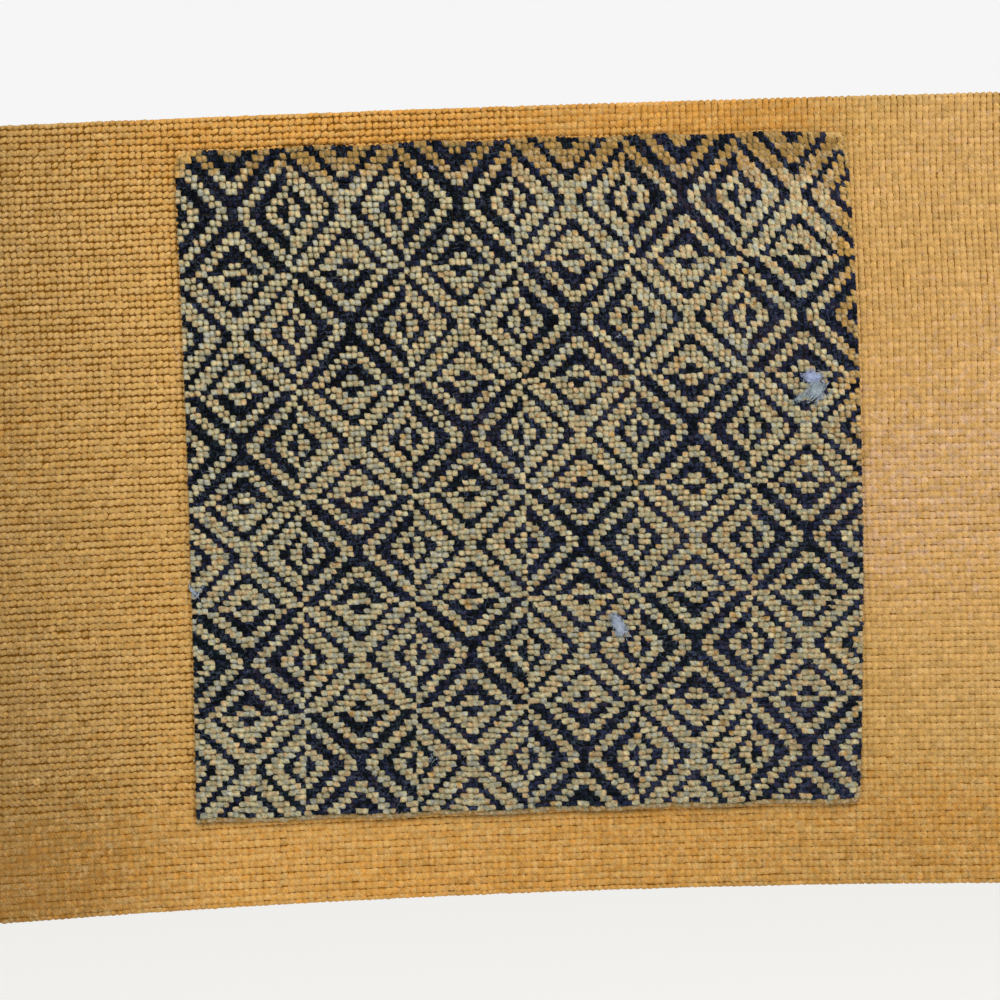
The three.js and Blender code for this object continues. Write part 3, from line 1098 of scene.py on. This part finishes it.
def tuft_hairs(across, up, heading, length, width, hue, count):
    heading = math.radians(heading)
    along = chance.normal(0, length / 4, count)
    aside = chance.normal(0, width / 4, count)
    return {
        "across": across + along * math.cos(heading) - aside * math.sin(heading),
        "up": up + along * math.sin(heading) + aside * math.cos(heading),
        "half_width": chance.uniform(*TUFT_HALF_LENGTH, count) * length,
        "half_height": chance.uniform(*TUFT_HALF_WIDTH, count),
        "slant": np.zeros(count),
        "turn": heading + chance.normal(0, TUFT_TURN_SPREAD, count),
        "height": np.full(count, LOOSE_HEIGHT),
        "lift": chance.uniform(*TUFT_LIFT, count) * STITCH_HEIGHT,
        "hue": chance.normal(hue, TUFT_HUE_SPREAD, count),
        "tone": chance.uniform(*TUFT_TONE, count),
    }


bundles = [tuft_hairs(*tuft) for tuft in TUFTS]
tufts = {key: np.concatenate([bundle[key] for bundle in bundles]) for key in bundles[0]}
square_lint = joined_stitches("square_lint", square, slim_pad, tufts, lint_fluff)

# %% A loose thread
THREAD_HEAD, THREAD_FOOT = np.array([-147.6, 81.9]), np.array([-143.1, 67.2])
THREAD_PADS = 7
THREAD_FROM, THREAD_TO = 0.08, 0.92
THREAD_BEND, THREAD_SWING = 0.3, 3.0
THREAD_SHAPE = {"half_width": 1.5, "half_height": 0.18, "slant": 0.0, "height": 0.15}
THREAD_VALUES = {**THREAD_SHAPE, "hue": 1.0, "tone": 0.8}
THREAD_LIFT = 0.8
thread_share = np.linspace(THREAD_FROM, THREAD_TO, THREAD_PADS)
run_x, run_z = THREAD_FOOT - THREAD_HEAD
thread = {key: np.full(THREAD_PADS, value) for key, value in THREAD_VALUES.items()}
thread["across"] = THREAD_HEAD[0] + run_x * thread_share + THREAD_BEND * np.sin(THREAD_SWING * thread_share)
thread["up"] = THREAD_HEAD[1] + run_z * thread_share
thread["turn"] = np.full(THREAD_PADS, math.atan2(run_z, run_x))
thread["lift"] = np.full(THREAD_PADS, STITCH_HEIGHT * THREAD_LIFT)
ground_lint = joined_stitches("ground_lint", ground, slim_pad, thread, ochre_yarn)

# %% [markdown]
# The ground was cut with its turnings, less the corners that the mitres take away.

# %% [markdown]
# The studio is plain: a pale floor well below the hanging, a pale sky for even light, and one
# large soft lamp high in front, so that each row throws a little shadow on the next. The camera
# stands square in front and is turned by about two degrees, as the picture was taken.

# %% Floor and sky
FLOOR_Z, FLOOR_HALF_SIZE = -0.62, 5.0
SKY_STRENGTH = 0.92
floor_mesh = bpy.data.meshes.new("floor")
bm = bmesh.new()
bmesh.ops.create_grid(bm, x_segments=1, y_segments=1, size=FLOOR_HALF_SIZE)
bmesh.ops.translate(bm, vec=(0, 0, FLOOR_Z), verts=bm.verts)
bm.to_mesh(floor_mesh)
bm.free()
floor = linked("floor", floor_mesh)
floor_paint = bpy.data.materials.new("pale_floor_paint")
floor_paint.use_nodes = True
paint = floor_paint.node_tree.nodes["Principled BSDF"]
paint.inputs["Base Color"].default_value = linear("#F2F1EE")
paint.inputs["Roughness"].default_value = 0.9
floor_mesh.materials.append(floor_paint)

sky = bpy.data.worlds.new("pale_sky")
sky.use_nodes = True
sky_light = sky.node_tree.nodes["Background"]
sky_light.inputs["Color"].default_value = linear("#FFFFFF")
sky_light.inputs["Strength"].default_value = SKY_STRENGTH
bpy.context.scene.world = sky
print("floor at", FLOOR_Z, "m, sky of strength", SKY_STRENGTH)

# %% One soft lamp
LAMP_PLACE, LAMP_SIZE, LAMP_POWER = Vector((0.5, -1.1, 1.0)), 0.8, 13.0
PANEL_MIDDLE = Vector((0.0, 0.0, GROUND_MIDDLE_Z * MM))
lamp_data = bpy.data.lights.new("key_lamp", "AREA")
lamp_data.shape = "DISK"
lamp_data.size = LAMP_SIZE
lamp_data.energy = LAMP_POWER
lamp = linked("key_lamp", lamp_data)
lamp.location = LAMP_PLACE
lamp.rotation_euler = (PANEL_MIDDLE - LAMP_PLACE).to_track_quat("-Z", "Y").to_euler()
bpy.context.scene.view_settings.view_transform = "Standard"
print("lamp of", LAMP_POWER, "W")

# %% Camera
PICTURE_WIDTH_MM = 452.5
CAMERA_DISTANCE = 1.25
CAMERA_TURN = math.radians(1.9)
SENSOR_WIDTH_MM = 36.0
camera_data = bpy.data.cameras.new("camera")
camera_data.sensor_width = SENSOR_WIDTH_MM
camera_data.lens = SENSOR_WIDTH_MM * CAMERA_DISTANCE / (PICTURE_WIDTH_MM * MM)
camera = linked("camera", camera_data)
camera.location = (0.0, ground_low.y - CAMERA_DISTANCE, GROUND_MIDDLE_Z * MM)
camera.rotation_euler = (math.pi / 2, CAMERA_TURN, 0.0)
bpy.context.scene.camera = camera
print("lens", round(camera_data.lens, 1), "mm")
